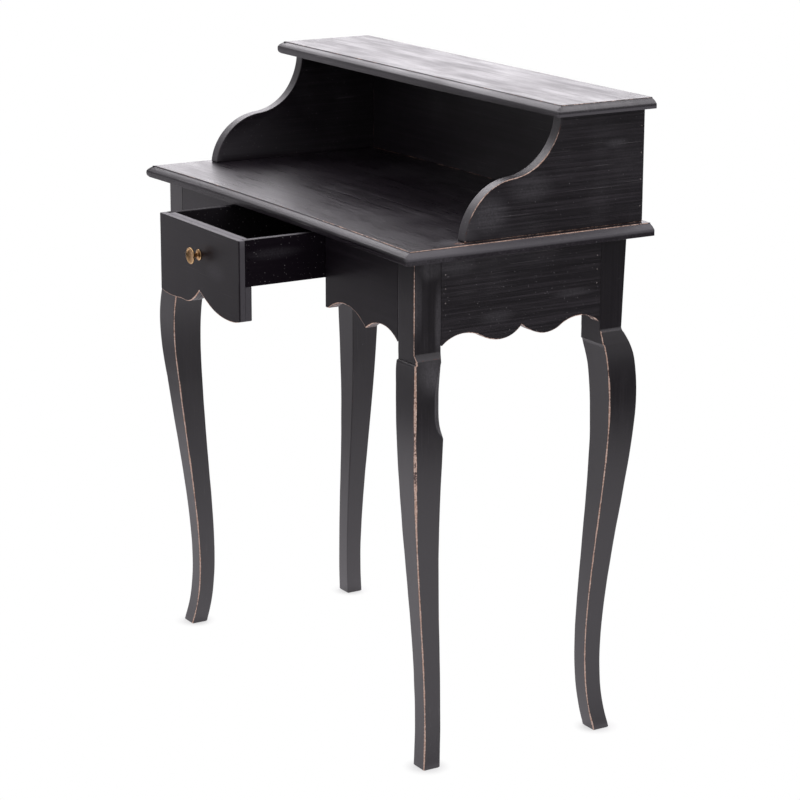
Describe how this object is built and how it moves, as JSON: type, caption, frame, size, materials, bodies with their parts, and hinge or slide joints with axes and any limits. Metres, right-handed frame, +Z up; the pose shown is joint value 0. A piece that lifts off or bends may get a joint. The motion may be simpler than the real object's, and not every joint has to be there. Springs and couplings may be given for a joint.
{
  "type": "bonheur du jour",
  "caption": "Small black writing desk with S-curved square legs, scalloped aprons, a centre drawer with a round knob, and an open gallery with ogee ends and a shelf at the back.",
  "frame": {"origin": "middle of the whole object's plan at floor level, with the drawer pulled out as it stands", "axes": "+Z up, +X to the right seen from the front, the drawer opens towards -Y"},
  "size_m": [0.801, 0.541, 0.948],
  "materials": {
    "black_paint": "satin black paint worn to the wood on its edges",
    "raw_wood": "bare wood",
    "brass": "antique",
    "steel": "dull"
  },
  "bodies": {
    "frame": {"apron_pins": "steel", "back_apron": "black_paint", "drawer_guide_left": "raw_wood", "drawer_guide_right": "raw_wood", "drawer_runner_left": "raw_wood", "drawer_runner_right": "raw_wood", "drawer_stop_left": "raw_wood", "drawer_stop_right": "raw_wood", "front_apron_left": "black_paint", "front_apron_right": "black_paint", "gallery_back": "black_paint", "gallery_dowels": "raw_wood", "gallery_pins": "steel", "gallery_screws": "steel", "gallery_shelf": "black_paint", "gallery_side_left": "black_paint", "gallery_side_right": "black_paint", "leg_back_left": "black_paint", "leg_back_right": "black_paint", "leg_front_left": "black_paint", "leg_front_right": "black_paint", "side_apron_left": "black_paint", "side_apron_right": "black_paint", "tabletop": "black_paint", "top_cleat_back_left": "raw_wood", "top_cleat_back_right": "raw_wood", "top_cleat_front_left": "raw_wood", "top_cleat_front_right": "raw_wood", "top_cleat_screws": "steel", "top_cleat_side_left": "raw_wood", "top_cleat_side_right": "raw_wood"},
    "drawer": {"drawer_front": "black_paint", "drawer_side_left": "black_paint", "drawer_side_right": "black_paint", "drawer_back": "black_paint", "drawer_bottom": "black_paint", "drawer_nails": "steel", "knob": "brass", "knob_rosette": "brass", "knob_screw": "steel"}
  },
  "joints": [
    {"name": "drawer_slide", "type": "slide", "parent": "frame", "child": "drawer", "axis": [0, -1, 0], "range_m": [-0.14, 0.09]}
  ]
}
